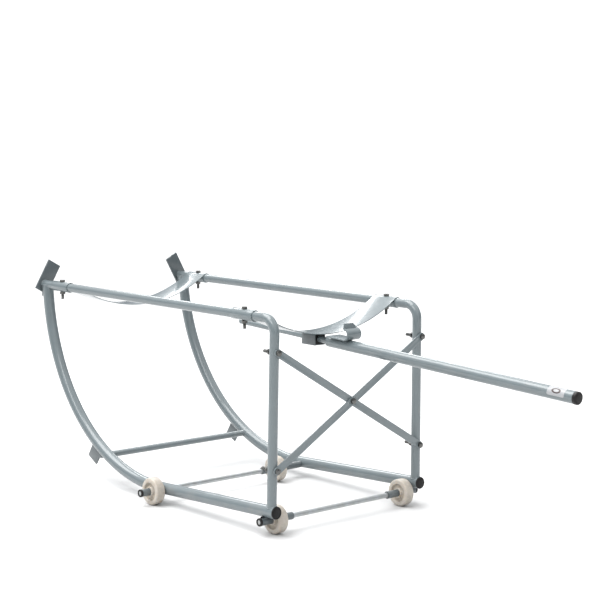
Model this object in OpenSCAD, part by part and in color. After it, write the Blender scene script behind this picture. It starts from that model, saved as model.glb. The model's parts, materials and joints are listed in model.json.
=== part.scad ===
// Drum dolly: a wheeled rocker cradle for a 200 litre drum, with a drawn-out tilting handle.
// +X points to the handle end, +Y to the right-hand frame, +Z up. The origin lies on the floor
// at the centre of the wheels' footprint, on the mid-plane between the two side frames.

/* [Side frames] */
// Distance between the two top rails, centre to centre
gauge = 472; // [440:1:520]
// Height of the top rails' centre lines above the floor
rail_z = 517; // [503:1:543]
// Outside diameter of the rocker tubes
rocker_od = 30; // [28:0.5:32]
// Centre-line radius of the rockers
rocker_r = 512.3; // [505:0.1:520]
// Angle at which the bottom tubes rise towards the handle end, degrees
rise = 3; // [2:0.25:4]
// Sideways lean of each side frame, degrees
splay = 0.62; // [0:0.02:1.2]
// Outside diameter of the rear legs, the front corner stubs and the top rails
leg_od = 23.5; // [22:0.5:25]
// Centre-line radius of the bend at the top of a leg
leg_bend_r = 36; // [34:1:60]
// Outside diameter of the reduced ends of the top rails, inside the legs and stubs
rail_end_od = 20; // [16:0.5:20]
// Wall thickness of every frame tube
tube_wall = 1.6; // [1.2:0.1:2]

/* [Lengthwise places] */
// Distance between the two axles
wheelbase = 409; // [380:1:430]
// Foremost centre line of the rockers, ahead of the origin
rocker_front = 756.5; // [750:0.5:765]
// Centre line of the rear legs, behind the origin
leg_x = 225.5; // [224:0.5:235]

/* [Saddles] */
// Width of both saddle bands
saddle_w = 80; // [70:1:90]
// Thickness of the saddle bands
saddle_t = 2; // [1.5:0.1:3]
// Depth of the saddles below the rails' centre lines
saddle_sag = 61; // [50:1:75]
// Middle of the front saddle, ahead of the origin
front_saddle_x = 681; // [670:1:690]
// Middle of the rear saddle, behind the origin
rear_saddle_x = 115; // [105:1:120]

/* [Wheels] */
// Wheel diameter
wheel_d = 69.5; // [66:0.5:72]
// Wheel width over the hub
wheel_w = 28; // [24:1:29]
// Axle rod diameter
axle_d = 13; // [12:0.1:13]
// Outside diameter of the sleeves beside the wheels
sleeve_od = 19; // [17:0.5:20]

/* [Handle] */
// Outside diameter of the handle tube
handle_od = 28; // [25:0.5:30]
// Length of the handle tube without its end plug
handle_len = 763; // [600:1:800]
// Diameter of the spigot that goes through the socket
spigot_od = 16; // [14:0.5:18]
// Length of spigot ahead of the handle tube
spigot_len = 345; // [330:1:360]
// Angle at which the handle drops towards its free end, degrees
droop = 2.63; // [0:0.01:3]

/* [Braces and plates] */
// Width of the crossed braces
brace_w = 19; // [16:0.5:22]
// Thickness of the crossed braces
brace_t = 3; // [2.5:0.1:4]
// Length of the toe plates
toe_len = 90; // [70:1:100]
// Width of the toe plates
toe_w = 42; // [35:1:45]
// Lean of the toe plates towards the middle, degrees
toe_lean = 29.5; // [0:0.5:40]

/* [Hidden] */
$fn = 64;

left = -1;
right = 1;
enamel = [0.63, 0.68, 0.71];
dark_enamel = [0.36, 0.40, 0.43];
zinc = [0.55, 0.55, 0.53];
nylon = [0.90, 0.87, 0.82];
black = [0.08, 0.08, 0.09];

axle_z = wheel_d / 2;
front_axle_x = -wheelbase / 2;
rear_axle_x = wheelbase / 2;

// The rear axle's sleeves touch the bottom tubes from below, which sets the rockers' height.
arc_x = rocker_r - rocker_front;
rocker_drop = rocker_r * (1 - cos(rise)) + (rear_axle_x - arc_x - rocker_r * sin(rise)) * tan(rise);
rocker_low = axle_z + sleeve_od / 2 + rocker_od / 2 / cos(rise) + 0.02 - rocker_drop;
arc_z = rocker_low + rocker_r;
arc_top = acos((arc_z - rail_z) / rocker_r);
straight_x = arc_x + rocker_r * sin(rise);
straight_z = arc_z - rocker_r * cos(rise);
bar_len = (leg_x + 16 - straight_x) / cos(rise);
tube_cap_t = 3;
rocker_wall = 2;
rocker_bore = rocker_od - 2 * rocker_wall;
// A bend is this much thinner than the straight lengths it joins, so that they meet at a plain step
bend_step = 0.04;

nest_gap = 0.15;
leg_id = rail_end_od + 2 * nest_gap;
eye_id = leg_od + 2 * nest_gap;
eye_mid_r = eye_id / 2 + saddle_t / 2;
eye_od = eye_id + 2 * saddle_t;
stub_end = -front_saddle_x + saddle_w / 2 - 8;
leg_end = rear_saddle_x - saddle_w / 2 + 8;
rail_end_len = 60;

// Mid-surface radius of the saddle bands, tangent to the rolled eyes round the rails.
half = gauge / 2;
band_r = (half * half + saddle_sag * saddle_sag - eye_mid_r * eye_mid_r) / (2 * (saddle_sag + eye_mid_r));
band_z = rail_z - saddle_sag + band_r;
band_angle = asin(half / (band_r + eye_mid_r));

bolt_d = 8;
hole_d = 8.6;
head_af = 13;
head_t = 5.3;
nut_t = 6.5;
bolt_tip_drop = 34;

brace_high = 439;
brace_low = 160;
brace_x = leg_x + leg_od / 2 + 0.1;
brace_gap = 0.2;
brace_bolt_tip = leg_x - 37;

toe_y = 226;
toe_z = 536.5;
toe_t = 5;

cross_bar_od = 17;
cross_bar_x = -456;
cross_bar_angle = asin((arc_x - cross_bar_x) / rocker_r);
cross_bar_z = arc_z - rocker_r * cos(cross_bar_angle);
tab_t = 4;

running_gap = 0.06;
bush_od = 17;
sleeve_len = 37;
cap_t = 4.5;
side_play = 0.6;
set_screw_d = 5;
set_screw_y = 254.5;
front_left_y = -271.5;
front_right_y = 138.5;
rear_wheel_y = 211;

socket_front = rear_saddle_x - saddle_w / 2 - 1.5;
socket_len = 49;
socket_w = 35;
socket_wall = 3;
socket_h = 31;
socket_low = rail_z - saddle_sag - saddle_t / 2 - socket_h;
handle_ref_x = 100;
handle_ref_z = 440.4;
// Distance along the handle from its reference point to the front end of the thick tube
tube_start = 56;
reducer_len = 30;
end_plug_t = 9;
hook_w = 46;
hook_t = 3;
hook_od = 30;
hook_at = 130;
hook_tail = 61;

// Half the distance between the side frames at height z
function half_at(z) = half + (rail_z - z) * tan(splay);

// A point in the plane of a side frame, at radius r and angle a from straight down
function arc_point(r, a) = [arc_x - r * sin(a), arc_z - r * cos(a)];

// Puts what is drawn at y = 0 into the leaning plane of one side frame
module in_frame(side) {
    translate([0, side * half, rail_z])
        rotate([side * splay, 0, 0])
            translate([0, 0, -rail_z])
                children();
}

// Puts what is drawn along +X into the handle's drooping axis
module on_handle() {
    translate([handle_ref_x, 0, handle_ref_z])
        rotate([0, droop, 0])
            children();
}

module rod_x(d, x0, x1) {
    translate([x0, 0, 0])
        rotate([0, 90, 0])
            cylinder(d = d, h = x1 - x0);
}

module rod_y(d, y0, y1) {
    translate([0, y1, 0])
        rotate([90, 0, 0])
            cylinder(d = d, h = y1 - y0);
}

// Cross-section of a tube, or of a rod where the bore is 0
module ring(d, bore) {
    difference() {
        circle(d = d, $fn = 48);
        if (bore > 0)
            circle(d = bore, $fn = 48);
    }
}

module rocker_arc() {
    translate([arc_x, 0, arc_z])
        rotate([90, 0, 0])
            rotate([0, 0, 270 - arc_top])
                rotate_extrude(angle = arc_top + rise, $fn = 240)
                    translate([rocker_r, 0])
                        ring(rocker_od - bend_step, rocker_bore + bend_step);
}

// The bottom tube, from the end of the arc back to the rear cap
module rocker_bar(d, bore) {
    translate([straight_x, 0, straight_z])
        rotate([0, 90 - rise, 0])
            linear_extrude(bar_len)
                ring(d, bore);
}

module rocker_tube(side) {
    color(enamel)
        in_frame(side)
            difference() {
                union() {
                    rocker_arc();
                    rocker_bar(rocker_od, rocker_bore);
                }
                translate([0, 0, rail_z])
                    rod_x(leg_od, -rocker_front - rocker_od, -rocker_front + rocker_od);
                translate([front_axle_x, 0, axle_z])
                    rod_y(axle_d + 0.1, -rocker_od, rocker_od);
            }
}

// A leg's upright, its bend, and the length that runs forward into the rear saddle
module leg_tubes() {
    bend_z = rail_z - leg_bend_r;
    foot_z = straight_z + (leg_x - straight_x) * tan(rise);
    translate([leg_x, 0, foot_z])
        rotate(45)
            linear_extrude(bend_z - foot_z)
                ring(leg_od, leg_id);
    translate([leg_x - leg_bend_r, 0, bend_z])
        rotate([90, 0, 0])
            rotate_extrude(angle = 90, $fn = 96)
                translate([leg_bend_r, 0])
                    ring(leg_od - bend_step, leg_id + bend_step);
    translate([leg_end, 0, rail_z])
        rotate([90, 0, 90])
            rotate(45)
                linear_extrude(leg_x - leg_bend_r - leg_end)
                    ring(leg_od, leg_id);
}

module rear_leg(side) {
    color(enamel)
        difference() {
            in_frame(side)
                difference() {
                    leg_tubes();
                    rocker_bar(rocker_od, 0);
                    translate([rear_saddle_x, 0, rail_z - leg_od])
                        cylinder(d = hole_d, h = 2 * leg_od);
                }
            for (z = [brace_high, brace_low])
                translate([leg_x, side * half_at(z), z])
                    rod_x(hole_d, -leg_od, leg_od);
        }
}

// Rail with ends reduced to push into a leg and a corner stub
module top_rail(side) {
    color(enamel)
        translate([0, side * half, rail_z])
            difference() {
                union() {
                    rod_x(rail_end_od, stub_end - rail_end_len, leg_end + rail_end_len);
                    rod_x(leg_od, stub_end + nest_gap, leg_end - nest_gap);
                }
                rod_x(rail_end_od - 2 * tube_wall, stub_end - rail_end_len - 1, leg_end + rail_end_len + 1);
                for (x = [-front_saddle_x, rear_saddle_x])
                    translate([x, 0, -leg_od])
                        cylinder(d = hole_d, h = 2 * leg_od);
            }
}

module corner_stub(side) {
    color(enamel)
        translate([0, side * half, rail_z])
            difference() {
                rod_x(leg_od, -rocker_front - rocker_od / 2, stub_end);
                rod_x(leg_id, -rocker_front, stub_end + 1);
                translate([-front_saddle_x, 0, -leg_od])
                    cylinder(d = hole_d, h = 2 * leg_od);
            }
}

// Ring section of the saddle's mid-surface between two angles, drawn with y to the right
module band_sector() {
    intersection() {
        difference() {
            circle(r = band_r + saddle_t / 2, $fn = 256);
            circle(r = band_r - saddle_t / 2, $fn = 256);
        }
        polygon([
            [0, 0],
            [-2 * band_r * sin(band_angle), -2 * band_r * cos(band_angle)],
            [2 * band_r * sin(band_angle), -2 * band_r * cos(band_angle)]
        ]);
    }
}

// Rolled eye round one rail, with the narrow gap where its free end meets the band
module rolled_eye(side) {
    slit_angle = 40;
    difference() {
        circle(d = eye_od);
        circle(d = eye_id);
        rotate(90 + side * (band_angle + slit_angle))
            translate([0, -0.8])
                square([eye_od, 1.6]);
    }
}

module saddle(x) {
    color(enamel)
        difference() {
            translate([x - saddle_w / 2, 0, 0])
                rotate([90, 0, 90])
                    linear_extrude(saddle_w)
                        union() {
                            translate([0, band_z])
                                band_sector();
                            for (side = [left, right])
                                translate([side * half, rail_z])
                                    rolled_eye(side);
                        }
            for (side = [left, right])
                translate([x, side * half, rail_z - eye_od])
                    cylinder(d = hole_d, h = 2 * eye_od);
        }
}

// Hexagon bolt along +Z with its head on top, the head's seat at z = 0
module hex_bolt(length) {
    cylinder(d = head_af / cos(30), h = head_t, $fn = 6);
    translate([0, 0, -length])
        cylinder(d = bolt_d, h = length + 0.5);
}

module hex_nut() {
    difference() {
        cylinder(d = head_af / cos(30), h = nut_t, $fn = 6);
        translate([0, 0, -1])
            cylinder(d = bolt_d + 0.1, h = nut_t + 2);
    }
}

module at_saddle_bolts() {
    for (x = [-front_saddle_x, rear_saddle_x], side = [left, right])
        translate([x, side * half, rail_z])
            children();
}

module saddle_bolts() {
    color(zinc)
        at_saddle_bolts()
            translate([0, 0, eye_od / 2])
                hex_bolt(eye_od / 2 + bolt_tip_drop);
}

module saddle_nuts() {
    color(zinc)
        at_saddle_bolts()
            translate([0, 0, -eye_od / 2 - nut_t])
                hex_nut();
}

// Inclined flat welded to the front of a rocker and its corner stub
module toe_plate(side) {
    color(dark_enamel)
        translate([-rocker_front - rocker_od / 2 - toe_t, side * toe_y, toe_z])
            rotate([side * toe_lean, 0, 0])
                translate([0, -toe_w / 2, -toe_len / 2])
                    cube([toe_t, toe_w, toe_len]);
}

module front_cross_bar() {
    color(enamel)
        difference() {
            translate([cross_bar_x, 0, cross_bar_z])
                rod_y(cross_bar_od, -half_at(cross_bar_z), half_at(cross_bar_z));
            for (side = [left, right])
                in_frame(side)
                    translate([cross_bar_x, 0, cross_bar_z])
                        rotate([0, cross_bar_angle, 0])
                            rod_x(rocker_od + 0.1, -rocker_od, rocker_od);
        }
}

// Radial tab under a rocker, with a low shoulder towards the cross bar
module foot_tab(side) {
    outline = [
        arc_point(rocker_r, 32.2), arc_point(rocker_r + 57, 32.2), arc_point(rocker_r + 55, 27.9),
        arc_point(rocker_r + 31, 27.6), arc_point(rocker_r + 19, 25.6), arc_point(rocker_r, 25.6)
    ];
    color(dark_enamel)
        in_frame(side)
            translate([0, tab_t / 2, 0])
                rotate([90, 0, 0])
                    linear_extrude(tab_t)
                        difference() {
                            polygon(outline);
                            translate([arc_x, arc_z])
                                circle(r = rocker_r + rocker_od / 2, $fn = 360);
                        }
}

// Flat bar with round ends from one leg to the other, with its three bolt holes
module brace(x, rising) {
    y_high = rising * half_at(brace_high);
    y_low = -rising * half_at(brace_low);
    span = norm([y_high - y_low, brace_high - brace_low]);
    lean = atan2(brace_high - brace_low, y_high - y_low);
    crossing = norm([y_low, crossing_z() - brace_low]);
    color(enamel)
        translate([x, y_low, brace_low])
            rotate([90, 0, 90])
                rotate(lean)
                    linear_extrude(brace_t)
                        difference() {
                            union() {
                                translate([0, -brace_w / 2])
                                    square([span, brace_w]);
                                for (at = [0, span])
                                    translate([at, 0])
                                        circle(d = brace_w);
                            }
                            for (at = [0, crossing, span])
                                translate([at, 0])
                                    circle(d = hole_d);
                        }
}

// Height at which the two braces cross on the mid-plane
function crossing_z() =
    brace_low + (brace_high - brace_low) * half_at(brace_low) / (half_at(brace_low) + half_at(brace_high));

// The four places where a brace is bolted to a leg; thick says how far behind the leg its bar lies
module at_brace_ends() {
    for (side = [left, right], z = [brace_low, brace_high]) {
        outer = (z == brace_low) == (side == left);
        $rear_x = outer ? brace_x + 2 * brace_t + brace_gap : brace_x + brace_t;
        translate([0, side * half_at(z), z])
            children();
    }
}

module brace_bolts() {
    color(zinc)
        at_brace_ends()
            translate([$rear_x, 0, 0])
                rotate([0, 90, 0])
                    hex_bolt($rear_x - brace_bolt_tip);
}

module brace_washers() {
    color(zinc)
        at_brace_ends()
            difference() {
                rod_x(16, leg_x - leg_od / 2 - 1.6, leg_x - leg_od / 2);
                rod_x(bolt_d + 0.2, leg_x - leg_od, leg_x);
            }
}

module brace_nuts() {
    color(zinc)
        at_brace_ends()
            translate([leg_x - leg_od / 2 - 1.6 - nut_t, 0, 0])
                rotate([0, 90, 0])
                    hex_nut();
}

// Spacers that fill the gap between the legs and the outer brace
module brace_spacers() {
    color(zinc)
        for (end = [[left, brace_low], [right, brace_high]])
            translate([0, end[0] * half_at(end[1]), end[1]])
                difference() {
                    rod_x(15, brace_x, brace_x + brace_t + brace_gap);
                    rod_x(bolt_d + 0.2, brace_x - 1, brace_x + brace_t + 1);
                }
}

module brace_center_bolt() {
    color(zinc)
        translate([brace_x + 2 * brace_t + brace_gap, 0, crossing_z()])
            rotate([0, 90, 0])
                hex_bolt(20);
}

module brace_center_nut() {
    color(zinc)
        translate([brace_x - nut_t, 0, crossing_z()])
            rotate([0, 90, 0])
                hex_nut();
}

tube_out = half_at(axle_z) + rocker_od / 2;
front_left_end = front_left_y - wheel_w / 2 - 28;
front_right_end = tube_out + 6;
rear_end = rear_wheel_y + wheel_w / 2 + sleeve_len;

module axle(x, y0, y1) {
    color(zinc)
        translate([x, 0, axle_z])
            rod_y(axle_d, y0, y1);
}

// Spacer sleeve on an axle
module sleeve(y0, y1) {
    difference() {
        rod_y(sleeve_od, y0, y1);
        rod_y(axle_d + 0.1, y0 - 1, y1 + 1);
    }
}

module front_axle_sleeves() {
    color(dark_enamel)
        translate([front_axle_x, 0, axle_z]) {
            sleeve(front_left_end + cap_t, front_left_y - wheel_w / 2 - side_play);
            sleeve(front_right_y - wheel_w / 2 - sleeve_len, front_right_y - wheel_w / 2 - side_play);
            sleeve(front_right_y + wheel_w / 2 + side_play, tube_out - rocker_od - 0.8);
        }
}

module rear_axle_sleeves() {
    inner_face = rear_wheel_y - wheel_w / 2;
    color(dark_enamel)
        translate([rear_axle_x, 0, axle_z])
            difference() {
                for (side = [0, 180])
                    rotate(side) {
                        sleeve(inner_face - sleeve_len, inner_face - side_play);
                        sleeve(inner_face + wheel_w + side_play, rear_end - cap_t);
                    }
                for (side = [left, right])
                    translate([0, side * set_screw_y, 0])
                        cylinder(d = set_screw_d + 0.1, h = sleeve_od);
            }
}

// Push-on cap on an axle's end; the rod's bright end stays visible in its middle
module axle_cap(y, side) {
    translate([0, y, 0])
        rotate([0, 0, side == left ? 180 : 0])
            difference() {
                rod_y(sleeve_od + 1, -cap_t, 1);
                rod_y(axle_d - 3, -cap_t - 1, 2);
                rod_y(axle_d + 0.1, -cap_t - 1, 0.02);
            }
}

module front_axle_caps() {
    color(black)
        translate([front_axle_x, 0, axle_z]) {
            axle_cap(front_left_end, left);
            axle_cap(front_right_end, right);
        }
}

module rear_axle_caps() {
    color(black)
        translate([rear_axle_x, 0, axle_z])
            for (side = [left, right])
                axle_cap(side * rear_end, side);
}

// Set screws that hold the outer sleeves on the rear axle
module axle_set_screws() {
    color(black)
        translate([rear_axle_x, 0, axle_z])
            for (side = [left, right])
                translate([0, side * set_screw_y, axle_d / 2 + 0.05])
                    cylinder(d = set_screw_d, h = (sleeve_od - axle_d) / 2 + 3);
}

// Half section of a wheel, x along the radius and y along the axle
module wheel_section() {
    rim_in = 23;
    hub_r = 12.5;
    shoulder = 4.5;
    rim_half = wheel_w / 2 - 1;
    tread = wheel_d / 2;
    translate([bush_od / 2, -wheel_w / 2])
        square([hub_r - bush_od / 2, wheel_w]);
    translate([bush_od / 2, -wheel_w / 2 + 6.5])
        square([rim_in + 2 - bush_od / 2, wheel_w - 13]);
    translate([rim_in, -rim_half])
        square([tread - shoulder - rim_in, 2 * rim_half]);
    translate([rim_in, -rim_half + shoulder])
        square([tread - rim_in, 2 * (rim_half - shoulder)]);
    for (side = [left, right])
        translate([tread - shoulder, side * (rim_half - shoulder)])
            circle(r = shoulder);
}

module wheel(x, y) {
    color(nylon)
        translate([x, y, axle_z])
            rotate([90, 0, 0])
                rotate_extrude($fn = 96)
                    wheel_section();
}

module bush(x, y) {
    color(zinc)
        translate([x, y, axle_z])
            difference() {
                rod_y(bush_od - 0.04, -wheel_w / 2, wheel_w / 2);
                rod_y(axle_d + 2 * running_gap, -wheel_w, wheel_w);
            }
}

// Half section of a domed plug for a tube's end: x is the radius, y runs out of the tube,
// and the tube's end face lies at y = 0
module plug_section(d, bore, thick, depth, dome_r) {
    translate([0, -depth])
        square([bore / 2, depth + 0.5]);
    intersection() {
        translate([0, 0.02])
            square([d / 2, thick]);
        translate([0, thick - dome_r])
            circle(r = dome_r, $fn = 240);
    }
}

module tube_cap(side) {
    color(black)
        in_frame(side)
            translate([straight_x, 0, straight_z])
                rotate([0, 90 - rise, 0])
                    translate([0, 0, bar_len])
                        rotate_extrude()
                            plug_section(rocker_od + 0.6, rocker_bore - 0.1, tube_cap_t, 14, 60);
}

// Short square tube under the rear saddle, open at both ends
module handle_socket() {
    color(dark_enamel)
        difference() {
            translate([socket_front, -socket_w / 2, socket_low])
                cube([socket_len, socket_w, socket_h + 4]);
            translate([socket_front - 1, -socket_w / 2 + socket_wall, socket_low + socket_wall])
                cube([socket_len + 2, socket_w - 2 * socket_wall, socket_h - 2 * socket_wall]);
            translate([socket_front - 1, 0, band_z])
                rotate([0, 90, 0])
                    cylinder(r = band_r + saddle_t / 2, h = socket_len + 2, $fn = 720);
        }
}

// Insert that fills the socket and guides the spigot
module socket_guide() {
    inset = 2;
    guide_w = socket_w - 2 * socket_wall - 0.1;
    guide_h = socket_h - 2 * socket_wall - 0.1;
    color(black)
        difference() {
            translate([socket_front + inset, -guide_w / 2, socket_low + socket_wall + 0.05])
                cube([socket_len - 2 * inset, guide_w, guide_h]);
            on_handle()
                rod_x(spigot_od + 2 * running_gap, -socket_len, socket_len);
        }
}

module handle_tube() {
    color(enamel)
        on_handle()
            difference() {
                rod_x(handle_od, tube_start, tube_start + handle_len);
                rod_x(handle_od - 4, tube_start - 1, tube_start + handle_len + 1);
            }
}

module handle_spigot() {
    chamfer = 2;
    tip = tube_start - spigot_len;
    color(enamel)
        on_handle() {
            rod_x(spigot_od, tip + chamfer, tube_start + reducer_len + 10);
            translate([tip, 0, 0])
                rotate([0, 90, 0])
                    cylinder(d1 = spigot_od - 2 * chamfer, d2 = spigot_od, h = chamfer);
        }
}

// Ring that centres the spigot in the handle tube
module handle_reducer() {
    color(enamel)
        on_handle()
            difference() {
                rod_x(handle_od - 4.1, tube_start, tube_start + reducer_len);
                rod_x(spigot_od + 0.1, tube_start - 1, tube_start + reducer_len + 1);
            }
}

module handle_end_plug() {
    color(black)
        on_handle()
            translate([tube_start + handle_len, 0, 0])
                rotate([0, 90, 0])
                    rotate_extrude()
                        plug_section(handle_od + 0.4, handle_od - 4.1, end_plug_t, 20, 50);
}

// Flat bar on the handle, rolled up and forward into an open hook, with a tapered lip
module chime_hook() {
    mid_r = hook_od / 2 - hook_t / 2;
    lip_h = 12;
    color(enamel)
        on_handle()
            translate([hook_at, 0, handle_od / 2]) {
                translate([-hook_tail, -hook_w / 2, 0])
                    cube([hook_tail, hook_w, hook_t]);
                intersection() {
                    translate([0, 0, hook_od / 2])
                        difference() {
                            rod_y(hook_od, -hook_w / 2, hook_w / 2);
                            rod_y(hook_od - 2 * hook_t, -hook_w, hook_w);
                        }
                    translate([0, -hook_w, -1])
                        cube([hook_od, 2 * hook_w, hook_od + 2]);
                }
                translate([0, 0, hook_od - hook_t])
                    rotate([90, 0, -90])
                        linear_extrude(hook_t)
                            polygon([
                                [-hook_w / 2, 0], [hook_w / 2, 0],
                                [hook_w / 2 - 3, hook_t + lip_h], [-hook_w / 2 + 14, hook_t + lip_h]
                            ]);
            }
}

rocker_tube(left);  // left_rocker_tube
rocker_tube(right);  // right_rocker_tube
rear_leg(left);  // left_rear_leg
rear_leg(right);  // right_rear_leg
top_rail(left);  // left_top_rail
top_rail(right);  // right_top_rail
corner_stub(left);  // left_corner_stub
corner_stub(right);  // right_corner_stub
saddle(-front_saddle_x);  // front_saddle
saddle(rear_saddle_x);  // rear_saddle
saddle_bolts();
saddle_nuts();
toe_plate(left);  // left_toe_plate
toe_plate(right);  // right_toe_plate
front_cross_bar();
foot_tab(left);  // left_foot_tab
foot_tab(right);  // right_foot_tab
brace(brace_x, left);  // inner_brace
brace(brace_x + brace_t + brace_gap, right);  // outer_brace
brace_bolts();
brace_nuts();
brace_washers();
brace_spacers();
brace_center_bolt();
brace_center_nut();
axle(front_axle_x, front_left_end, front_right_end);  // front_axle
axle(rear_axle_x, -rear_end, rear_end);  // rear_axle
front_axle_sleeves();
rear_axle_sleeves();
front_axle_caps();
rear_axle_caps();
axle_set_screws();
wheel(front_axle_x, front_left_y);  // left_front_wheel
wheel(front_axle_x, front_right_y);  // right_front_wheel
wheel(rear_axle_x, -rear_wheel_y);  // left_rear_wheel
wheel(rear_axle_x, rear_wheel_y);  // right_rear_wheel
bush(front_axle_x, front_left_y);  // left_front_bush
bush(front_axle_x, front_right_y);  // right_front_bush
bush(rear_axle_x, -rear_wheel_y);  // left_rear_bush
bush(rear_axle_x, rear_wheel_y);  // right_rear_bush
tube_cap(left);  // left_tube_cap
tube_cap(right);  // right_tube_cap
handle_socket();
socket_guide();
handle_tube();
handle_spigot();
handle_reducer();
handle_end_plug();
chime_hook();
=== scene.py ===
# The looks of the drum dolly: detailed pieces, materials, floor, lights and camera,
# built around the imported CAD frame. Metres, +X to the handle end, +Z up.
import json
import math
import random

import bmesh
import bpy
from mathutils import Matrix, Vector


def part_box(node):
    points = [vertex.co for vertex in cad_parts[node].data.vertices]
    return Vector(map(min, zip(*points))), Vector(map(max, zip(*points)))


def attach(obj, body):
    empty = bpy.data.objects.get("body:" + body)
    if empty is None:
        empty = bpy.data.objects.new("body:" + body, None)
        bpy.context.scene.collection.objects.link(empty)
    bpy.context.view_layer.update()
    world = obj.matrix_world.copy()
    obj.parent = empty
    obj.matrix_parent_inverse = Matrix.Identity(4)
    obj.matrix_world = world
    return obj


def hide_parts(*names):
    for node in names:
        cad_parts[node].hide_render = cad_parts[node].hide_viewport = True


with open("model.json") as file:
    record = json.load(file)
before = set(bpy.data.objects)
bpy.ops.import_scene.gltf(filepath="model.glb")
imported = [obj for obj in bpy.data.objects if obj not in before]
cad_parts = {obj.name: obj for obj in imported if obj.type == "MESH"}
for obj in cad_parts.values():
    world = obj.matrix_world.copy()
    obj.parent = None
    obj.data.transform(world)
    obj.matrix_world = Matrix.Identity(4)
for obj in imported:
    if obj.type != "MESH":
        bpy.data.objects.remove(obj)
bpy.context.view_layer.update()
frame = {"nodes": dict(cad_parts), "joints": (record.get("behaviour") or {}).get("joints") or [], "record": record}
random.seed(7)

MM = 0.001
FRAME = "cradle_frame"
HANDLE = "handle"
WHEELS = ("left_front", "right_front", "left_rear", "right_rear")
JOINTS = {joint["name"]: joint for joint in frame["joints"]}

# Sizes that the CAD part was drawn to
GAUGE = 472 * MM
RAIL_Z = 517 * MM
SPLAY = math.radians(0.62)
ROCKER_R = 512.3 * MM
ROCKER_OD = 30 * MM
ROCKER_FRONT = -756.5 * MM
RISE = math.radians(3)
LEG_OD = 23.5 * MM
LEG_X = 225.5 * MM
BOLT_D = 8 * MM
THREAD_PITCH = 1.25 * MM
HEAD_AF = 13 * MM
HEAD_HEIGHT = 5.3 * MM
HANDLE_OD = 28 * MM
HANDLE_LENGTH = 763 * MM
CROSS_BAR_OD = 17 * MM
PLUG_INSET = 2.05 * MM


# ---------------------------------------------------------------- places on the handle

AXIS = Vector(JOINTS["handle_slide"]["axis"]).normalized()
TUBE_LOW, TUBE_HIGH = (Vector(c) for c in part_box("handle_tube"))
TUBE_START = Vector((TUBE_LOW.x, 0, TUBE_HIGH.z - HANDLE_OD / 2 * AXIS.x))
TUBE_START.x += HANDLE_OD / 2 * abs(AXIS.z) / 2


def on_handle(along, side, up):
    """A point so far along the handle's axis from the tube's front end, sideways, and square to it."""
    square = Vector((-AXIS.z, 0, AXIS.x))
    return TUBE_START + AXIS * along + Vector((0, side, 0)) + square * up


STICKER_TURN = math.radians(38)
STICKER_LENGTH = 46 * MM
STICKER_GIRTH = 24 * MM
STICKER_TO_END = 76 * MM
RING_HALF_LENGTH = 12.5 * MM
RING_HALF_GIRTH = 6.2 * MM
STICKER_FIRST = (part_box("handle_end_plug")[1][0] - TUBE_START.x) / AXIS.x - STICKER_TO_END
STICKER_MIDDLE = on_handle(STICKER_FIRST + STICKER_LENGTH / 2,
                           -HANDLE_OD / 2 * math.cos(STICKER_TURN),
                           HANDLE_OD / 2 * math.sin(STICKER_TURN))
STICKER_UP = on_handle(0, math.sin(STICKER_TURN), math.cos(STICKER_TURN)) - TUBE_START
STICKER_UP.normalize()


# ---------------------------------------------------------------- materials

class Nodes:
    """Small helper that adds and links shader nodes."""

    def __init__(self, name):
        self.material = bpy.data.materials.new(name)
        self.material.use_nodes = True
        self.tree = self.material.node_tree
        self.shader = self.tree.nodes["Principled BSDF"]
        self.coords = self.add("ShaderNodeTexCoord").outputs["Object"]

    def add(self, kind, **inputs):
        node = self.tree.nodes.new(kind)
        for key, value in inputs.items():
            self.feed(node.inputs[key.replace("_", " ")], value)
        return node

    def feed(self, socket, value):
        if isinstance(value, bpy.types.NodeSocket):
            self.tree.links.new(value, socket)
        else:
            socket.default_value = value

    def stretched(self, scale):
        mapping = self.add("ShaderNodeMapping", Vector=self.coords)
        mapping.inputs["Scale"].default_value = scale
        return mapping.outputs["Vector"]

    def noise(self, scale, detail=3.0, roughness=0.55, vector=None):
        node = self.add("ShaderNodeTexNoise", Scale=scale, Detail=detail, Roughness=roughness)
        self.feed(node.inputs["Vector"], vector or self.coords)
        return node.outputs["Fac"]

    def remap(self, value, low, high, to_low, to_high):
        node = self.add("ShaderNodeMapRange", Value=value)
        limits = {"From Min": low, "From Max": high, "To Min": to_low, "To Max": to_high}
        for key, number in limits.items():
            node.inputs[key].default_value = number
        return node.outputs["Result"]

    def mix(self, fac, a, b):
        node = self.tree.nodes.new("ShaderNodeMix")
        node.data_type = "RGBA"
        self.feed(node.inputs["Factor"], fac)
        self.feed(node.inputs["A"], a)
        self.feed(node.inputs["B"], b)
        return node.outputs["Result"]

    def math(self, operation, a, b=0.0):
        node = self.tree.nodes.new("ShaderNodeMath")
        node.operation = operation
        self.feed(node.inputs[0], a)
        self.feed(node.inputs[1], b)
        return node.outputs["Value"]

    def along(self, direction):
        node = self.tree.nodes.new("ShaderNodeVectorMath")
        node.operation = "DOT_PRODUCT"
        self.feed(node.inputs[0], self.coords)
        node.inputs[1].default_value = direction
        return node.outputs["Value"]

    def bump(self, height, distance, strength=1.0, normal=None):
        node = self.add("ShaderNodeBump", Height=height)
        node.inputs["Distance"].default_value = distance
        node.inputs["Strength"].default_value = strength
        if normal:
            self.feed(node.inputs["Normal"], normal)
        return node.outputs["Normal"]

    def set(self, **inputs):
        for key, value in inputs.items():
            self.feed(self.shader.inputs[key.replace("_", " ")], value)
        return self.material


def grey(value):
    return (value, value, value, 1.0)


def shade(colour, factor):
    """A colour made lighter or darker, with full alpha."""
    return tuple(c * factor for c in colour) + (1.0,)


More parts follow.
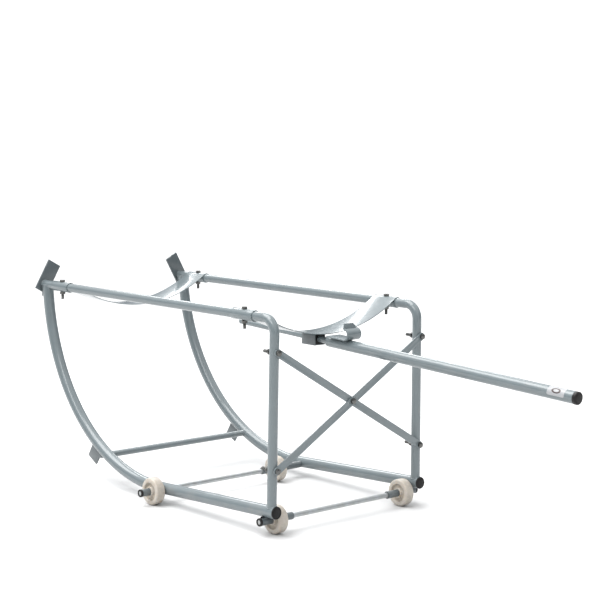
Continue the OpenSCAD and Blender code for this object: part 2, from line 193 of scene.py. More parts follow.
def enamel(name, colour, dull):
    """Sprayed enamel: slight unevenness, orange peel, and thin wear where edges stand out."""
    n = Nodes(name)
    cloud = n.remap(n.noise(26.0, 3.0), 0.3, 0.7, 0.0, 1.0)
    base = n.mix(cloud, shade(colour, 0.96), shade(colour, 1.03))
    speck = n.remap(n.noise(620.0, 2.0), 0.64, 0.72, 0.0, 0.2)
    base = n.mix(speck, base, shade(colour, 0.72))
    scuff = n.noise(34.0, 6.0, 0.7, n.stretched((0.35, 1.0, 1.0)))
    edge = n.add("ShaderNodeNewGeometry").outputs["Pointiness"]
    ridge = n.remap(edge, 0.6, 0.7, 0.0, 1.0)
    worn = n.math("MULTIPLY", ridge, n.remap(scuff, 0.52, 0.66, 0.0, 0.7))
    base = n.mix(worn, base, (0.22, 0.22, 0.215, 1.0))
    rough = n.remap(n.noise(48.0, 5.0), 0.3, 0.7, 0.2 + dull, 0.26 + dull)
    peel = n.bump(n.noise(420.0, 2.0), 0.00003, 0.4)
    flow = n.bump(n.noise(70.0, 2.0), 0.00004, 0.4, peel)
    return n.set(Base_Color=base, Roughness=rough, Normal=flow, Coat_Weight=0.45, Coat_Roughness=0.07)


def plated(name, colour, rough_low, rough_high, stretch, streak):
    """Bare or zinc-plated steel with fine drawn lines and faint patches."""
    n = Nodes(name)
    patch = n.remap(n.noise(60.0, 4.0), 0.35, 0.65, 0.0, 1.0)
    warm = (colour[0] * 0.86, colour[1] * 0.84, colour[2] * 0.8, 1.0)
    base = n.mix(patch, colour + (1.0,), warm)
    lines = n.noise(900.0, 3.0, 0.6, n.stretched(stretch))
    base = n.mix(n.remap(lines, 0.5, 0.75, 0.0, streak), base, grey(0.12))
    rough = n.remap(n.noise(150.0, 4.0), 0.3, 0.7, rough_low, rough_high)
    return n.set(Base_Color=base, Metallic=1.0, Roughness=rough, Normal=n.bump(lines, 0.00001, streak))


def nylon():
    """Cream cast nylon: milky, with faint turned rings, a greyed tread and painted shade darkening the dished ring
    between hub and rim.
    """
    n = Nodes("nylon_cream")
    split = n.add("ShaderNodeSeparateXYZ", Vector=n.coords)
    x, z = split.outputs["X"], split.outputs["Z"]
    radius = n.math("SQRT", n.math("ADD", n.math("MULTIPLY", x, x), n.math("MULTIPLY", z, z)))
    cloud = n.remap(n.noise(55.0, 4.0), 0.3, 0.7, 0.0, 1.0)
    base = n.mix(cloud, (0.48, 0.425, 0.36, 1.0), (0.56, 0.52, 0.465, 1.0))
    tread = n.remap(radius, 31.2 * MM, 34.6 * MM, 0.0, 1.0)
    dirt = n.math("MULTIPLY", tread, n.remap(n.noise(130.0, 5.0, 0.7), 0.35, 0.7, 0.1, 0.6))
    base = n.mix(dirt, base, (0.27, 0.25, 0.22, 1.0))
    # Painted shade: the dished ring between hub and rim is darkened to stand in for the shade in that recess.
    past_hub = n.remap(radius, 12.8 * MM, 14.5 * MM, 0.0, 1.0)
    before_rim = n.remap(radius, 20.5 * MM, 23 * MM, 1.0, 0.0)
    painted_recess_shade = n.math("MULTIPLY", n.math("MULTIPLY", past_hub, before_rim), 0.45)
    base = n.mix(painted_recess_shade, base, (0.30, 0.25, 0.18, 1.0))
    rings = n.math("SINE", n.math("MULTIPLY", radius, 9000.0))
    rough = n.remap(n.noise(90.0, 3.0), 0.3, 0.7, 0.34, 0.5)
    fine = n.bump(n.noise(260.0, 3.0), 0.00008, 0.5)
    turned = n.bump(rings, 0.00001, 0.5, fine)
    n.set(Base_Color=base, Roughness=rough, Normal=turned,
          Subsurface_Weight=0.35, Subsurface_Scale=6 * MM)
    n.shader.inputs["Subsurface Radius"].default_value = (1.0, 0.8, 0.55)
    return n.material


def plastic():
    """Black moulded plastic with a fine grain."""
    n = Nodes("black_plastic")
    cloud = n.remap(n.noise(120.0, 4.0), 0.35, 0.65, 0.0, 1.0)
    base = n.mix(cloud, grey(0.005), (0.014, 0.013, 0.013, 1.0))
    grain = n.noise(1500.0, 2.0)
    rough = n.remap(n.noise(80.0, 3.0), 0.3, 0.7, 0.38, 0.55)
    return n.set(Base_Color=base, Roughness=rough, Normal=n.bump(grain, 0.00004, 0.6),
                 Specular_IOR_Level=0.28)


def bronze():
    """Pressed bronze with dark pores."""
    n = Nodes("sintered_bronze")
    pores = n.noise(2200.0, 2.0)
    base = n.mix(n.remap(pores, 0.4, 0.65, 0.0, 1.0), (0.42, 0.30, 0.19, 1.0), (0.16, 0.11, 0.08, 1.0))
    rough = n.remap(n.noise(200.0, 3.0), 0.3, 0.7, 0.4, 0.6)
    return n.set(Base_Color=base, Metallic=0.8, Roughness=rough, Normal=n.bump(pores, 0.00003, 0.6))


def sticker():
    """Pale vinyl with a plain oval ring and a little grime."""
    n = Nodes("white_vinyl")
    cloud = n.remap(n.noise(70.0, 4.0), 0.3, 0.7, 0.0, 1.0)
    base = n.mix(cloud, (0.33, 0.335, 0.345, 1.0), (0.38, 0.385, 0.395, 1.0))
    along = n.math("SUBTRACT", n.along(AXIS), STICKER_MIDDLE.dot(AXIS))
    along = n.math("DIVIDE", along, RING_HALF_LENGTH)
    around = n.math("SUBTRACT", n.along(STICKER_UP), STICKER_MIDDLE.dot(STICKER_UP))
    around = n.math("DIVIDE", around, RING_HALF_GIRTH)
    spread = n.math("ADD", n.math("MULTIPLY", along, along), n.math("MULTIPLY", around, around))
    within = n.remap(spread, 0.9, 1.0, 1.0, 0.0)
    beyond = n.remap(spread, 0.3, 0.36, 0.0, 1.0)
    base = n.mix(n.math("MULTIPLY", within, beyond), base, (0.05, 0.03, 0.028, 1.0))
    grime = n.remap(n.noise(240.0, 5.0, 0.7), 0.6, 0.75, 0.0, 0.35)
    base = n.mix(grime, base, grey(0.17))
    rough = n.remap(n.noise(60.0, 3.0), 0.3, 0.7, 0.3, 0.42)
    return n.set(Base_Color=base, Roughness=rough, Normal=n.bump(n.noise(500.0, 2.0), 0.00004, 0.5))


def floor_paint():
    """Pale, nearly even floor."""
    n = Nodes("pale_floor")
    base = n.mix(n.remap(n.noise(1.5, 3.0), 0.3, 0.7, 0.0, 1.0), grey(0.60), grey(0.62))
    return n.set(Base_Color=base, Roughness=0.75)


LOOKS = {
    "enamel": enamel("enamel_blue_grey", (0.148, 0.177, 0.187), 0.0),
    "dark_enamel": enamel("enamel_dark_grey", (0.088, 0.106, 0.113), 0.08),
    "zinc": plated("zinc_plate", (0.15, 0.152, 0.15), 0.22, 0.38, (1.0, 1.0, 0.2), 0.35),
    "axle_steel": plated("drawn_steel", (0.46, 0.485, 0.50), 0.3, 0.4, (1.0, 0.04, 1.0), 0.1),
    "black_plastic": plastic(),
    "nylon": nylon(),
    "bronze": bronze(),
}
SLOT_OF = {part["node"]: part["material_slot"] for part in frame["record"]["subparts"]}


# ---------------------------------------------------------------- mesh tools

def finish_piece(mesh, name, body, slot, nodes=(), material=None, sharp=35.0):
    """Turns a bmesh into a piece: smooth faces with sharp edges kept, a material (the slot's look unless one is
    given) and a body.
    """
    bmesh.ops.recalc_face_normals(mesh, faces=mesh.faces)
    for face in mesh.faces:
        face.smooth = True
    for edge in mesh.edges:
        edge.smooth = edge.is_manifold and edge.calc_face_angle(math.pi) < math.radians(sharp)
    data = bpy.data.meshes.new(name)
    mesh.to_mesh(data)
    mesh.free()
    piece = bpy.data.objects.new(name, data)
    bpy.context.scene.collection.objects.link(piece)
    data.materials.append(material or LOOKS[slot])
    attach(piece, body)
    if nodes:
        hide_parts(*nodes)
    return piece


def grid_faces(mesh, rows, close_ring=True):
    """Joins neighbouring rows of vertices with quads; each row is a ring if close_ring is set."""
    for lower, upper in zip(rows, rows[1:]):
        count = len(lower)
        for i in range(count if close_ring else count - 1):
            j = (i + 1) % count
            mesh.faces.new((lower[i], lower[j], upper[j], upper[i]))


def frame_of(direction):
    """Rotation that takes +Z to a direction."""
    return Vector(direction).to_track_quat("Z", "Y").to_matrix().to_4x4()


def ring(mesh, place, radius, height, steps):
    """One round row of vertices about the local Z axis."""
    turns = [2 * math.pi * i / steps for i in range(steps)]
    return [mesh.verts.new(place @ Vector((radius * math.cos(t), radius * math.sin(t), height)))
            for t in turns]


def lathe(mesh, profile, place, steps=64):
    """Revolves (radius, height) points round the local Z axis; radius 0 at an end closes it."""
    rows = []
    for radius, height in profile:
        if radius == 0:
            rows.append(mesh.verts.new(place @ Vector((0, 0, height))))
        else:
            rows.append(ring(mesh, place, radius, height, steps))
    for lower, upper in zip(rows, rows[1:]):
        if isinstance(lower, bmesh.types.BMVert):
            for i in range(steps):
                mesh.faces.new((lower, upper[i], upper[(i + 1) % steps]))
        elif isinstance(upper, bmesh.types.BMVert):
            for i in range(steps):
                mesh.faces.new((lower[i], lower[(i + 1) % steps], upper))
        else:
            grid_faces(mesh, [lower, upper])


def arc(centre, radius, start, end, steps=6):
    """Points of an arc in (radius, height) space, angles in degrees."""
    turns = [math.radians(start + (end - start) * i / steps) for i in range(steps + 1)]
    return [(centre[0] + radius * math.cos(t), centre[1] + radius * math.sin(t)) for t in turns]


def solids_of(node):
    """Boxes of a node's separate solids, as (low corner, high corner) pairs."""
    mesh = bmesh.new()
    mesh.from_mesh(frame["nodes"][node].data)
    bmesh.ops.remove_doubles(mesh, verts=mesh.verts, dist=1e-6)
    left = set(mesh.verts)
    boxes = []
    while left:
        stack = [left.pop()]
        found = []
        while stack:
            vert = stack.pop()
            found.append(vert.co.copy())
            for edge in vert.link_edges:
                other = edge.other_vert(vert)
                if other in left:
                    left.remove(other)
                    stack.append(other)
        low = Vector([min(co[i] for co in found) for i in range(3)])
        high = Vector([max(co[i] for co in found) for i in range(3)])
        boxes.append((low, high))
    mesh.free()
    return sorted(boxes, key=lambda pair: tuple(round(c, 4) for c in pair[0]))


def refined(node, body, soften):
    """A CAD node's own shape with its triangles merged, its edges softened and clean shading."""
    mesh = bmesh.new()
    mesh.from_mesh(frame["nodes"][node].data)
    bmesh.ops.remove_doubles(mesh, verts=mesh.verts, dist=2e-6)
    bmesh.ops.dissolve_degenerate(mesh, edges=mesh.edges, dist=1e-6)
    bmesh.ops.recalc_face_normals(mesh, faces=mesh.faces)
    bmesh.ops.dissolve_limit(mesh, angle_limit=math.radians(0.5), verts=mesh.verts, edges=mesh.edges)
    sharp = [e for e in mesh.edges if e.is_manifold and e.calc_face_angle(0) > math.radians(40)]
    bmesh.ops.bevel(mesh, geom=sharp, offset=soften, segments=2, profile=0.6, affect="EDGES",
                    clamp_overlap=True)
    return finish_piece(mesh, node + "_shell", body, SLOT_OF[node], (node,), sharp=30.0)


# ---------------------------------------------------------------- wheels

def wheel(which):
    """Fat nylon wheel with a crowned tread, a dished face each side and a raised hub."""
    node = which + "_wheel"
    low, high = (Vector(c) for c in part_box(node))
    centre = (low + high) / 2
    radius = (high.z - low.z) / 2
    half = (high.y - low.y) / 2
    bore = 8.5 * MM
    hub = 12.7 * MM
    rim = 24.4 * MM
    rim_face = half - 1 * MM
    web = half - 6.5 * MM
    edge = 0.8 * MM
    fillet = 1.3 * MM
    dish = 1.6 * MM
    shoulder = 4.6 * MM
    crown = 0.2 * MM
    side = [(bore, half - edge), (bore + edge, half)]
    side += arc((hub - edge, half - edge), edge, 90, 0, 3)
    side += arc((hub + fillet, web + fillet), fillet, 180, 270, 4)
    side += arc((rim - 3.4 * MM, web + dish), dish, 270, 340, 4)
    side += arc((rim, rim_face - fillet), fillet, 165, 90, 4)
    side += arc((radius - shoulder - crown, rim_face - shoulder), shoulder, 90, 12, 10)
    profile = side + [(radius, 0.0)] + [(r, -h) for r, h in reversed(side)]
    profile.append(profile[0])
    mesh = bmesh.new()
    lathe(mesh, profile, frame_of((0, 1, 0)), 96)
    bmesh.ops.remove_doubles(mesh, verts=mesh.verts, dist=1e-6)
    piece = finish_piece(mesh, which + "_tyre", which + "_wheel_body", "nylon", (node,), sharp=50.0)
    piece.location = centre
    return piece


# ---------------------------------------------------------------- fasteners

def hexagon_reach(turn, across):
    """Distance from a hexagon's centre to its side in a given direction."""
    step = math.radians(60)
    offset = (turn + step / 2) % step - step / 2
    return across / 2 / math.cos(offset)


def hexagon(mesh, place, across, low, high, chamfer_low, bore=0.0):
    """Hexagonal head or nut with turned chamfers, from height low to high."""
    steps = 48
    flat = across / 2 * 0.96
    slope = math.tan(math.radians(30))
    rows = [[] for _ in range(4)]
    for i in range(steps):
        turn = 2 * math.pi * i / steps
        reach = hexagon_reach(turn, across)
        drop = max(0.0, reach - flat) * slope
        cos, sin = math.cos(turn), math.sin(turn)
        bottom = low + (drop if chamfer_low else 0.0)
        points = [(min(flat, reach), low), (reach, bottom + 0.01 * MM), (reach, high - drop),
                  (min(flat, reach), high)]
        for row, (r, h) in zip(rows, points):
            row.append(mesh.verts.new(place @ Vector((r * cos, r * sin, h))))
    grid_faces(mesh, rows)
    if bore:
        inner = [ring(mesh, place, bore, h, steps) for h in (low, high)]
        grid_faces(mesh, [rows[0], inner[0]])
        grid_faces(mesh, [inner[0], inner[1]])
        grid_faces(mesh, [inner[1], rows[3]])
    else:
        mesh.faces.new(rows[0])
        mesh.faces.new(rows[3])


def threaded_end(mesh, place, start, end, steps=28, rows_per_pitch=7):
    """Bolt shank surface with a rolled thread from height start down to end."""
    depth = 0.55 * MM
    tip = 1.4 * MM
    tip_inset = 0.7 * MM
    runout = 1.2 * MM
    count = int((start - end) / THREAD_PITCH * rows_per_pitch)
    rows = []
    for k in range(count + 1):
        height = start + (end - start) * k / count
        fade = min(1.0, (height - end) / tip, (start - height) / runout)
        inset = tip_inset * (1 - fade) if height - end < tip else 0
        row = []
        for i in range(steps):
            turn = 2 * math.pi * i / steps
            phase = (height / THREAD_PITCH + i / steps) % 1.0
            groove = abs(phase * 2 - 1)
            r = BOLT_D / 2 - depth * groove * max(0.0, fade) - inset
            row.append(mesh.verts.new(place @ Vector((r * math.cos(turn), r * math.sin(turn), height))))
        rows.append(row)
    grid_faces(mesh, rows)
    mesh.faces.new(rows[0])
    mesh.faces.new(rows[-1])


def bolts(node, axis, thread, twist):
    """Replaces a group of CAD bolts: heads at the high end along the axis, threads at the low end."""
    mesh = bmesh.new()
    index = max(range(3), key=lambda i: axis[i])
    under_head = 0.1 * MM
    for number, (low, high) in enumerate(solids_of(node)):
        seat = (low + high) / 2
        seat[index] = high[index] - HEAD_HEIGHT
        spin = Matrix.Rotation(twist + 0.31 * number, 4, "Z")
        place = Matrix.Translation(seat) @ frame_of(axis) @ spin
        tip = low[index] - seat[index]
        hexagon(mesh, place, HEAD_AF, 0.0, HEAD_HEIGHT, False)
        lathe(mesh, [(0, under_head), (BOLT_D / 2, under_head), (BOLT_D / 2, tip + thread),
                     (0, tip + thread)], place, 28)
        threaded_end(mesh, place, tip + thread, tip)
    return finish_piece(mesh, node + "_detailed", FRAME, "zinc", (node,), sharp=32.0)


def nuts(node, axis, twist):
    """Replaces a group of CAD nuts."""
    mesh = bmesh.new()
    index = max(range(3), key=lambda i: axis[i])
    for number, (low, high) in enumerate(solids_of(node)):
        base = (low + high) / 2
        height = high[index] - low[index]
        base[index] = low[index]
        spin = Matrix.Rotation(twist + 0.4 * number, 4, "Z")
        place = Matrix.Translation(base) @ frame_of(axis) @ spin
        hexagon(mesh, place, HEAD_AF, 0.0, height, True, BOLT_D / 2 + 0.02 * MM)
    return finish_piece(mesh, node + "_detailed", FRAME, "zinc", (node,), sharp=32.0)


# ---------------------------------------------------------------- caps and plugs

def axle_caps(node):
    """Push-on caps with a rolled rim, open in the middle where the rod's end shows."""
    mesh = bmesh.new()
    wall = 1.9 * MM
    back = 1.2 * MM
    hole = 5 * MM
    lip = 1.1 * MM
    curl = 0.6 * MM
    chamfer = 0.4 * MM
    for low, high in solids_of(node):
        centre = (low + high) / 2
        outward = math.copysign(1, centre.y)
        radius = (high.z - low.z) / 2
        depth = high.y - low.y
        foot = (centre.x, centre.y - outward * depth / 2, centre.z)
        place = Matrix.Translation(foot) @ frame_of((0, outward, 0))
        profile = [(radius - wall, 0.0), (radius - chamfer, 0.0), (radius, chamfer)]
        profile += arc((radius - lip, depth - lip), lip, 0, 90, 5)
        profile += [(hole + 2.0 * MM, depth)]
        profile += arc((hole + 0.9 * MM, depth - curl), curl, 90, 180, 4)
        profile += [(hole, depth - back), (radius - wall, depth - back), (radius - wall, 0.0)]
        lathe(mesh, profile, place, 48)
    bmesh.ops.remove_doubles(mesh, verts=mesh.verts, dist=1e-7)
    return finish_piece(mesh, node + "_detailed", FRAME, "black_plastic", (node,), sharp=60.0)


def end_plug(name, node, body, outer, flange, bore, depth, place):
    """Ribbed plug with a rounded flange, a shallow ring groove and a low dome."""
    edge = min(1.6 * MM, flange * 0.45)
    sunk = 0.9 * MM
    shank = bore - 0.8 * MM
    seat = 0.02 * MM
    ribs = 3
    profile = [(0, -depth), (bore - 1.2 * MM, -depth)]
    for i in range(ribs):
        at = -depth + (i + 0.5) * depth / ribs
        profile += [(shank, at - 1.2 * MM), (bore, at), (bore, at + 0.6 * MM), (shank, at + 0.7 * MM)]
    profile += [(shank, seat), (outer - 0.3 * MM, seat), (outer, 0.3 * MM)]
    profile += arc((outer - edge, flange - edge - 0.8 * MM), edge, 0, 90, 6)
    profile += arc((outer - 3.6 * MM, flange - sunk), 0.7 * MM, 10, -190, 6)
    dome = outer - 4.6 * MM
    for i in range(1, 7):
        turn = math.radians(90 * i / 7)
        profile.append((dome * math.cos(turn), flange - sunk + sunk * math.sin(turn)))
    profile.append((0, flange))
    mesh = bmesh.new()
    lathe(mesh, profile, place, 64)
    return finish_piece(mesh, name, body, "black_plastic", (node,), sharp=55.0)


# ---------------------------------------------------------------- welds

def bead(mesh, points, width, closed=False):
    """Weld bead along a line of points, its girth swelling and shrinking in small ripples."""
    line = [Vector(p) for p in points]
    spaced = [line[0]]
    travelled = 0.0
    step = width * 0.28
    ends = line[1:] + ([line[0]] if closed else [])
    for target in ends:
        start = spaced[-1]
        length = (target - start).length
        for k in range(1, int(length / step) + 1):
            spaced.append(start.lerp(target, k * step / length))
    count = len(spaced)
    sides = 10
    upright = Vector((0.3, 0.2, 1.0))
    rows = []
    for i, point in enumerate(spaced):
        before = spaced[i - 1] if (closed or i) else spaced[0]
        after = spaced[(i + 1) % count] if (closed or i + 1 < count) else spaced[-1]
        along = (after - before).normalized()
        side = (upright - along * along.dot(upright)).normalized()
        other = along.cross(side)
        travelled += step
        ripple = 1.0 + 0.10 * math.sin(travelled / width * 5.2) + random.uniform(-0.05, 0.05)
        taper = 1.0 if closed else min(1.0, 0.45 + 0.2 * min(i, count - 1 - i))
        r = width / 2 * ripple * taper
        turns = [2 * math.pi * k / sides for k in range(sides)]
        rows.append([mesh.verts.new(point + side * r * math.cos(t) + other * r * math.sin(t))
                     for t in turns])
    grid_faces(mesh, rows)
    if closed:
        grid_faces(mesh, [rows[-1], rows[0]])
    else:
        mesh.faces.new(rows[0])
        mesh.faces.new(rows[-1])


ROCKER_TUBE_R = ROCKER_OD / 2
LEG_R = LEG_OD / 2


def half_at(z):
    """Half the distance between the side frames at height z."""
    return GAUGE / 2 + (RAIL_Z - z) * math.tan(SPLAY)


ARC_X = ROCKER_FRONT + ROCKER_R
ARC_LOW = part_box("left_rocker_tube")[0][2] + ROCKER_OD / 2
ARC_Z = ARC_LOW + ROCKER_R
BAR_X = ARC_X + ROCKER_R * math.sin(RISE)
BAR_Z = ARC_Z - ROCKER_R * math.cos(RISE)


def bar_height(x):
    """Height of a bottom tube's centre line."""
    return BAR_Z + (x - BAR_X) * math.tan(RISE)


def turns_of(steps, start=0.0, end=360.0):
    """Evenly spaced angles from start to end, given in degrees and returned in radians."""
    return [math.radians(start + (end - start) * i / steps) for i in range(steps + 1)]


def leg_foot_weld(mesh, side):
    """Round the rear leg where it stands on the bottom tube."""
    points = []
    for t in turns_of(40)[:-1]:
        x = LEG_X + LEG_R * math.cos(t)
        across = LEG_R * math.sin(t)
        z = bar_height(x) + math.sqrt(ROCKER_TUBE_R ** 2 - across * across) / math.cos(RISE)
        points.append((x, side * half_at(z) + across, z))
    bead(mesh, points, 3.4 * MM, closed=True)


def toe_plate_welds(mesh, side):
    """Over the corner stub's end, then down both sides of the rocker tube, on the toe plate."""
    plate_x = ROCKER_FRONT - ROCKER_TUBE_R
    points = [(plate_x + 0.8 * MM, side * GAUGE / 2 + LEG_R * math.cos(t), RAIL_Z + LEG_R * math.sin(t))
              for t in turns_of(32, -20, 200)]
    bead(mesh, points, 3.2 * MM)
    for across in (-9 * MM, 9 * MM):
        points = [(plate_x + 1.6 * MM, side * half_at(z) + across, z)
                  for z in [RAIL_Z - (4 + 5 * i) * MM for i in range(7)]]
        bead(mesh, points, 3.2 * MM)


def rocker_top_weld(mesh, side):
    """Round the rocker tube's top end, under the corner stub."""
    points = []
    for t in turns_of(36, -165, 165):
        across = ROCKER_TUBE_R * math.sin(t)
        drop = math.sqrt(max(0.0, LEG_R * LEG_R - across * across))
        points.append((ROCKER_FRONT + ROCKER_TUBE_R * math.cos(t) * 0.98,
                       side * GAUGE / 2 + across * 0.98, RAIL_Z - drop - 0.3 * MM))
    bead(mesh, points, 3.2 * MM)


def cross_bar_weld(mesh, side):
    """Round one end of the front cross bar, on the rocker tube."""
    bar_low, bar_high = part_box("front_cross_bar")
    bar_x = (bar_low[0] + bar_high[0]) / 2
    bar_z = (bar_low[2] + bar_high[2]) / 2
    lean = math.asin((ARC_X - bar_x) / ROCKER_R)
    points = []
    for t in turns_of(30)[:-1]:
        dx = CROSS_BAR_OD / 2 * math.cos(t)
        dz = CROSS_BAR_OD / 2 * math.sin(t)
        off = dx * math.sin(lean) + dz * math.cos(lean)
        y = side * (half_at(bar_z + dz) - math.sqrt(ROCKER_TUBE_R ** 2 - off * off))
        points.append((bar_x + dx, y, bar_z + dz))
    bead(mesh, points, 2.8 * MM, closed=True)


def foot_tab_welds(mesh, side):
    """Along both sides of the foot tab, on the outside of the rocker tube."""
    for across in (-2.6 * MM, 2.6 * MM):
        reach = ROCKER_R + math.sqrt(ROCKER_TUBE_R ** 2 - across * across) + 0.5 * MM
        points = []
        for t in turns_of(12, 26.0, 31.8):
            z = ARC_Z - reach * math.cos(t)
            points.append((ARC_X - reach * math.sin(t), side * half_at(z) + across, z))
        bead(mesh, points, 3.0 * MM)


def frame_welds():
    """Every weld bead on the side frames, in the frame's enamel."""
    mesh = bmesh.new()
    for side in (-1, 1):
        leg_foot_weld(mesh, side)
        toe_plate_welds(mesh, side)
        rocker_top_weld(mesh, side)
        cross_bar_weld(mesh, side)
        foot_tab_welds(mesh, side)
    return finish_piece(mesh, "frame_weld_beads", FRAME, "enamel", sharp=80.0)


def sleeve_welds():
    """Beads on the rear axle's sleeves and along the top of the handle's socket."""
    mesh = bmesh.new()
    axle_x, _, axle_z = JOINTS["left_rear_wheel_spin"]["pos_m"]
    sleeve_top = axle_z + 8.6 * MM
    for side in (-1, 1):
        for offset in (-5.5 * MM, 5.5 * MM):
            y = side * half_at(axle_z)
            points = [(axle_x + offset, y + side * k * MM, sleeve_top) for k in (-9, -4, 0, 4, 9)]
            bead(mesh, points, 3.2 * MM)
    socket_low, socket_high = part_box("handle_socket")
    middle = (socket_low[0] + socket_high[0]) / 2
    for y in (socket_low[1], socket_high[1]):
        points = [(x, y, socket_high[2] - 0.2 * MM)
                  for x in (socket_low[0] + 1 * MM, middle, socket_high[0] - 1 * MM)]
        bead(mesh, points, 2.8 * MM)
    return finish_piece(mesh, "sleeve_weld_beads", FRAME, "dark_enamel", sharp=80.0)


# ---------------------------------------------------------------- handle

def hook_welds():
    """Beads along both sides of the hook's tail, on the handle tube."""
    mesh = bmesh.new()
    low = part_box("chime_hook")[0]
    start = (low[0] - TUBE_START.x) / AXIS.x
    tail = 60 * MM
    for side in (-1, 1):
        points = [on_handle(start + t * tail, side * 7.5 * MM, 12.6 * MM)
                  for t in (0.04, 0.3, 0.6, 0.98)]
        bead(mesh, points, 3.0 * MM)
    return finish_piece(mesh, "hook_weld_beads", HANDLE, "enamel", sharp=80.0)


def edge_ring(grid):
    """The vertices round the edge of a grid of rows, in order."""
    return grid[0] + [r[-1] for r in grid[1:]] + grid[-1][-2::-1] + [r[0] for r in grid[-2:0:-1]]


def handle_sticker():
    """Pale sticker that follows the tube's curve, with rounded corners and a thin edge."""
    length, girth, corner = STICKER_LENGTH, STICKER_GIRTH, 3 * MM
    middle = STICKER_FIRST + length / 2
    rows = 24
    columns = 40
    mesh = bmesh.new()
    layers = []
    for lift in (0.02 * MM, 0.16 * MM):
        reach = HANDLE_OD / 2 + lift
        grid = []
        for j in range(rows + 1):
            v = (j / rows - 0.5) * girth
            turn = v / (HANDLE_OD / 2) + STICKER_TURN
            inset_v = max(0.0, abs(v) - (girth / 2 - corner))
            squeeze = corner - math.sqrt(max(0.0, corner * corner - inset_v * inset_v))
            limit = length / 2 - squeeze
            row = []
            for i in range(columns + 1):
                u = (i / columns - 0.5) * length
                place = on_handle(middle + u / (length / 2) * limit,
                                  -reach * math.cos(turn), reach * math.sin(turn))
                row.append(mesh.verts.new(place))
            grid.append(row)
        grid_faces(mesh, grid, close_ring=False)
        layers.append(grid)
    grid_faces(mesh, [edge_ring(grid) for grid in layers])
    bmesh.ops.remove_doubles(mesh, verts=mesh.verts, dist=1e-7)
    return finish_piece(mesh, "blank_sticker", HANDLE, "enamel", material=sticker(), sharp=50.0)


# ---------------------------------------------------------------- build

for which in WHEELS:
    wheel(which)

bolts("saddle_bolts", (0, 0, 1), 16 * MM, 0.2)
bolts("brace_bolts", (1, 0, 0), 24 * MM, 0.1)
bolts("brace_center_bolt", (1, 0, 0), 12 * MM, 0.5)
nuts("saddle_nuts", (0, 0, 1), 0.35)
nuts("brace_nuts", (1, 0, 0), 0.15)
nuts("brace_center_nut", (1, 0, 0), 0.6)

axle_caps("front_axle_caps")
axle_caps("rear_axle_caps")

for side in ("left", "right"):
    low, high = (Vector(c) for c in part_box(side + "_tube_cap"))
    out = Vector((math.cos(RISE), 0, math.sin(RISE)))
    flange = 3 * MM
    tube_end = high.x - flange * math.cos(RISE)
    place = Matrix.Translation((tube_end, (low.y + high.y) / 2, bar_height(tube_end))) @ frame_of(out)
    end_plug(side + "_tube_plug", side + "_tube_cap", FRAME, ROCKER_OD / 2 + 0.3 * MM, flange,
             ROCKER_OD / 2 - PLUG_INSET, 14 * MM, place)

place = Matrix.Translation(on_handle(HANDLE_LENGTH, 0, 0)) @ frame_of(AXIS)
end_plug("handle_grip_plug", "handle_end_plug", HANDLE, HANDLE_OD / 2 + 0.2 * MM, 9 * MM,
         HANDLE_OD / 2 - PLUG_INSET, 20 * MM, place)

SOFTENED = {
    "front_saddle": 0.5, "rear_saddle": 0.5, "left_toe_plate": 0.9, "right_toe_plate": 0.9,
    "left_foot_tab": 0.6, "right_foot_tab": 0.6, "inner_brace": 0.5, "outer_brace": 0.5,
    "handle_socket": 0.6, "chime_hook": 0.5, "socket_guide": 0.3,
}
for node, edge in SOFTENED.items():
    refined(node, HANDLE if node == "chime_hook" else FRAME, edge * MM)

frame_welds()
sleeve_welds()
hook_welds()
handle_sticker()

# Each CAD node gets its slot's look. The handle reducer is the exception: it gets the dark enamel as painted shade
# for the shadow it sits in behind the socket.
for node, cad in frame["nodes"].items():
    cad.data.materials.clear()
    cad.data.materials.append(LOOKS["dark_enamel" if node == "handle_reducer" else SLOT_OF[node]])


# ---------------------------------------------------------------- stage

def stage():
    """A flat floor that runs far past the object."""
    data = bpy.data.meshes.new("floor")
    reach = 30.0
    corners = [(-reach, -reach, 0), (reach, -reach, 0), (reach, reach, 0), (-reach, reach, 0)]
    data.from_pydata(corners, [], [(0, 1, 2, 3)])
    floor = bpy.data.objects.new("floor", data)
    bpy.context.scene.collection.objects.link(floor)
    data.materials.append(floor_paint())


def area_light(name, place, size, power):
    """A soft rectangular light aimed at the middle of the object."""
    target = Vector((0, 0, 0.3))
    data = bpy.data.lights.new(name, "AREA")
    data.shape = "RECTANGLE"
    data.size, data.size_y = size
    data.energy = power
    light = bpy.data.objects.new(name, data)
    bpy.context.scene.collection.objects.link(light)
    light.location = place
    light.rotation_euler = (target - Vector(place)).to_track_quat("-Z", "Y").to_euler()


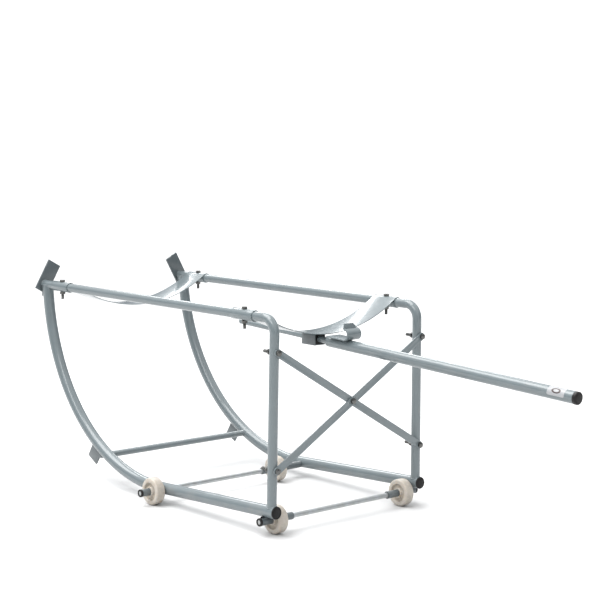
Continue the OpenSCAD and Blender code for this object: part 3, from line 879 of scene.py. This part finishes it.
def studio_world():
    """White backdrop for the camera; for the object, a bright ceiling over a darker horizon."""
    world = bpy.data.worlds.new("studio")
    world.use_nodes = True
    tree = world.node_tree
    background = tree.nodes["Background"]
    direction = tree.nodes.new("ShaderNodeTexCoord").outputs["Generated"]
    split = tree.nodes.new("ShaderNodeSeparateXYZ")
    ramp = tree.nodes.new("ShaderNodeValToRGB")
    path = tree.nodes.new("ShaderNodeLightPath")
    mix = tree.nodes.new("ShaderNodeMix")
    mix.data_type = "RGBA"
    stops = ramp.color_ramp
    stops.elements[0].position = 0.0
    stops.elements[0].color = (0.10, 0.11, 0.12, 1.0)
    stops.elements[1].position = 0.75
    stops.elements[1].color = (1.0, 1.0, 1.0, 1.0)
    middle = stops.elements.new(0.3)
    middle.color = (0.34, 0.36, 0.385, 1.0)
    tree.links.new(direction, split.inputs["Vector"])
    tree.links.new(split.outputs["Z"], ramp.inputs["Fac"])
    tree.links.new(path.outputs["Is Camera Ray"], mix.inputs["Factor"])
    tree.links.new(ramp.outputs["Color"], mix.inputs["A"])
    mix.inputs["B"].default_value = (1.0, 1.0, 1.0, 1.0)
    tree.links.new(mix.outputs["Result"], background.inputs["Color"])
    background.inputs["Strength"].default_value = 1.4
    bpy.context.scene.world = world


def lights():
    """The world, a very soft sun from above and three soft area lights."""
    studio_world()
    sun = bpy.data.lights.new("soft_sun", "SUN")
    sun.energy = 3.1
    sun.angle = math.radians(50)
    sky_light = bpy.data.objects.new("soft_sun", sun)
    bpy.context.scene.collection.objects.link(sky_light)
    sky_light.rotation_euler = Vector((0.35, 0.25, -1.0)).to_track_quat("-Z", "Y").to_euler()
    area_light("key", (0.6, -2.4, 3.0), (3.0, 0.6), 34)
    area_light("strip", (3.4, -0.6, 1.6), (0.5, 2.0), 8)
    area_light("rim", (-2.6, 1.8, 2.4), (2.4, 0.6), 35)


def camera():
    """The photograph's viewpoint: place in metres, then azimuth, pitch and roll in degrees."""
    place = (2.8454, -2.469, 0.9477)
    azimuth, pitch, roll = (math.radians(d) for d in (48.59, 6.39, 0.53))
    data = bpy.data.cameras.new("camera")
    data.sensor_width = 36.0
    data.lens = 89.776
    eye = bpy.data.objects.new("camera", data)
    bpy.context.scene.collection.objects.link(eye)
    ahead = Vector((-math.sin(azimuth) * math.cos(pitch), math.cos(azimuth) * math.cos(pitch),
                    -math.sin(pitch)))
    right = Vector((math.cos(azimuth), math.sin(azimuth), 0))
    up = right.cross(ahead)
    tilted_right = right * math.cos(roll) + up * math.sin(roll)
    tilted_up = up * math.cos(roll) - right * math.sin(roll)
    turn = Matrix((tilted_right, tilted_up, -ahead)).transposed()
    eye.matrix_world = Matrix.Translation(place) @ turn.to_4x4()
    bpy.context.scene.camera = eye


stage()
lights()
camera()
bpy.context.scene.view_settings.view_transform = "Standard"
bpy.context.view_layer.update()
